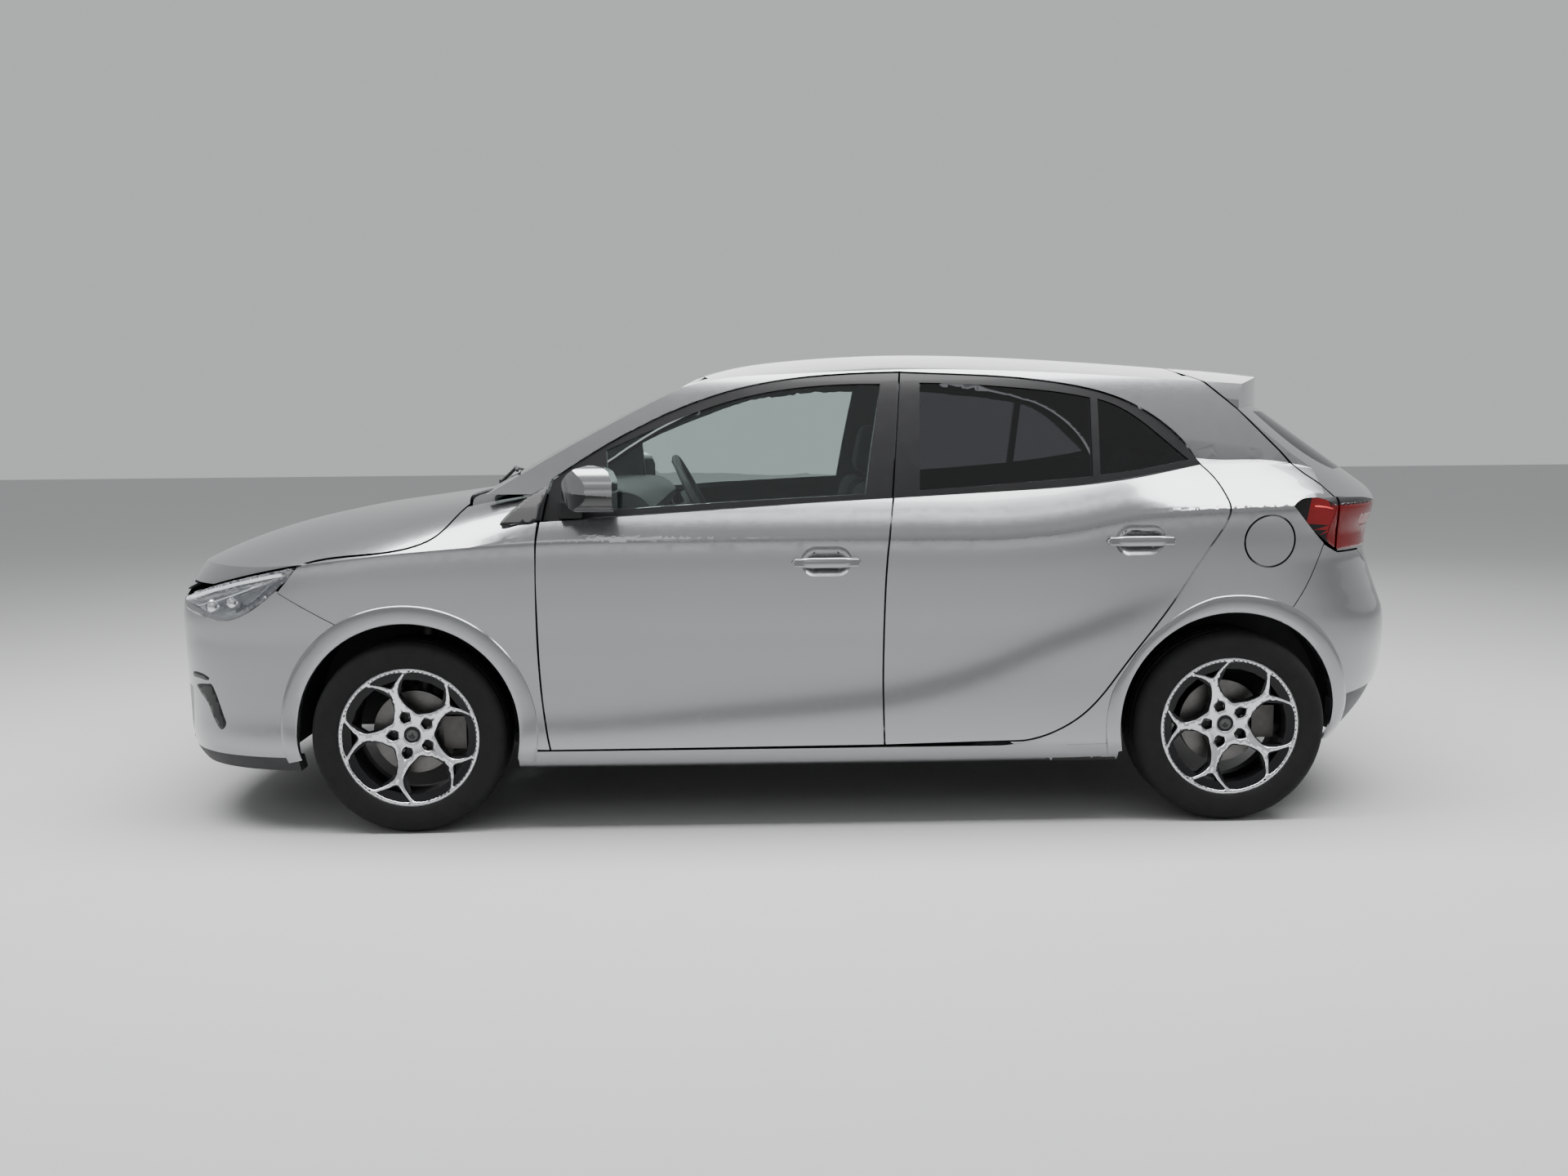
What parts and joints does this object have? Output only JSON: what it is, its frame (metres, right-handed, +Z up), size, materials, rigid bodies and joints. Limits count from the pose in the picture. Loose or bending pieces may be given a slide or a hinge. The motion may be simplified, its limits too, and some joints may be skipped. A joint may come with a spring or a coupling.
{
  "type": "five-door hatchback car",
  "caption": "Silver five-door hatchback car with opening doors, hood, tailgate and fuel flap, steered front wheels and turning wheels.",
  "frame": {"origin": "on the ground, midway along the length and on the centre plane", "axes": "+X to the tail, +Y to the car's right, +Z up"},
  "size_m": [4.1164, 2.0034, 1.5018],
  "materials": {
    "paint": "silver metallic paint",
    "dark_plastic": "grained dark grey",
    "clear_glass": "clear, lightly green",
    "dark_glass": "dark tint",
    "lamp_clear": "clear lens",
    "lamp_red": "red lens",
    "alloy": "turned alloy",
    "tyre": "black rubber",
    "steel": "dark steel",
    "steel_bright": "exhaust steel",
    "seat_cloth": "dark woven cloth",
    "cabin_plastic": "soft grained",
    "mirror": "mirror in a dark case",
    "plate": "blank plate"
  },
  "bodies": {
    "car": {"body_sides": "paint", "bumper_front": "paint", "bumper_rear": "paint", "bumper_rear_lower": "dark_plastic", "centre_console": "cabin_plastic", "cowl_and_wipers": "dark_plastic", "dashboard": "cabin_plastic", "engine_block": "steel", "exhaust": "steel_bright", "front_fenders": "paint", "front_suspension": "steel", "fuel_tank": "dark_plastic", "grille_front": "dark_plastic", "headlamps": "lamp_clear", "interior_mirror": "mirror", "plate_front": "plate", "rear_axle": "steel", "roof_panel": "paint", "seat_rear": "seat_cloth", "seats_front": "seat_cloth", "tail_lamps": "lamp_red", "underbody": "steel", "windscreen": "clear_glass"},
    "door_front_left": {"door_front_left": "paint", "glass_front_left": "clear_glass", "mirror_left": "paint"},
    "door_rear_left": {"door_rear_left": "paint", "glass_rear_left": "dark_glass"},
    "knuckle_left": {"knuckle_left": "steel"},
    "wheel_front_left": {"wheel_front_left": "alloy", "tyre_front_left": "tyre"},
    "wheel_rear_left": {"wheel_rear_left": "alloy", "tyre_rear_left": "tyre"},
    "door_front_right": {"door_front_right": "paint", "glass_front_right": "clear_glass", "mirror_right": "paint"},
    "door_rear_right": {"door_rear_right": "paint", "glass_rear_right": "dark_glass"},
    "knuckle_right": {"knuckle_right": "steel"},
    "wheel_front_right": {"wheel_front_right": "alloy", "tyre_front_right": "tyre"},
    "wheel_rear_right": {"wheel_rear_right": "alloy", "tyre_rear_right": "tyre"},
    "hood": {"hood": "paint"},
    "tailgate": {"tailgate": "paint", "tailgate_glass": "dark_glass", "spoiler": "paint", "rear_wiper": "dark_plastic", "gate_lamps": "lamp_red", "plate_rear": "plate"},
    "fuel_flap": {"fuel_flap": "paint"},
    "steering_wheel": {"steering_wheel": "cabin_plastic"}
  },
  "joints": [
    {"name": "door_front_left_hinge", "type": "hinge", "parent": "car", "child": "door_front_left", "pos_m": [-0.741, -0.88798, 0.6], "axis": [0, 0, -1], "range_deg": [0, 65]},
    {"name": "door_rear_left_hinge", "type": "hinge", "parent": "car", "child": "door_rear_left", "pos_m": [0.324, -0.89214, 0.6], "axis": [0, 0, -1], "range_deg": [0, 65]},
    {"name": "door_front_right_hinge", "type": "hinge", "parent": "car", "child": "door_front_right", "pos_m": [-0.741, 0.88798, 0.6], "axis": [0, 0, 1], "range_deg": [0, 65]},
    {"name": "door_rear_right_hinge", "type": "hinge", "parent": "car", "child": "door_rear_right", "pos_m": [0.324, 0.89214, 0.6], "axis": [0, 0, 1], "range_deg": [0, 65]},
    {"name": "hood_hinge", "type": "hinge", "parent": "car", "child": "hood", "pos_m": [-1.005, 0, 1.06], "axis": [0, 1, 0], "range_deg": [0, 55]},
    {"name": "tailgate_hinge", "type": "hinge", "parent": "car", "child": "tailgate", "pos_m": [1.268, 0, 1.46], "axis": [0, -1, 0], "range_deg": [0, 80]},
    {"name": "fuel_flap_hinge", "type": "hinge", "parent": "car", "child": "fuel_flap", "pos_m": [1.375, -0.88124, 0.892], "axis": [0, 0, -1], "range_deg": [0, 85]},
    {"name": "steer_left", "type": "hinge", "parent": "car", "child": "knuckle_left", "pos_m": [-1.2115, -0.682, 0.206], "axis": [0.0497, 0.1738, 0.9835], "range_deg": [-33, 33]},
    {"name": "steer_right", "type": "hinge", "parent": "car", "child": "knuckle_right", "pos_m": [-1.2115, 0.682, 0.206], "axis": [0.0497, -0.1738, 0.9835], "range_deg": [-33, 33]},
    {"name": "steering_column", "type": "hinge", "parent": "car", "child": "steering_wheel", "pos_m": [-0.352, 0.365, 0.968], "axis": [0.891, 0, 0.454], "range_deg": [-495, 495]},
    {"name": "wheel_front_left_spin", "type": "hinge", "parent": "knuckle_left", "child": "wheel_front_left", "pos_m": [-1.2115, -0.758, 0.305], "axis": [0, 1, 0], "continuous": true},
    {"name": "wheel_rear_left_spin", "type": "hinge", "parent": "car", "child": "wheel_rear_left", "pos_m": [1.3585, -0.756, 0.305], "axis": [0, 1, 0], "continuous": true},
    {"name": "wheel_front_right_spin", "type": "hinge", "parent": "knuckle_right", "child": "wheel_front_right", "pos_m": [-1.2115, 0.758, 0.305], "axis": [0, 1, 0], "continuous": true},
    {"name": "wheel_rear_right_spin", "type": "hinge", "parent": "car", "child": "wheel_rear_right", "pos_m": [1.3585, 0.756, 0.305], "axis": [0, 1, 0], "continuous": true}
  ],
  "couplings": [
    {"joint": "steer_right", "follows": "steer_left", "ratio": 1},
    {"joint": "steering_column", "follows": "steer_left", "ratio": 15}
  ]
}
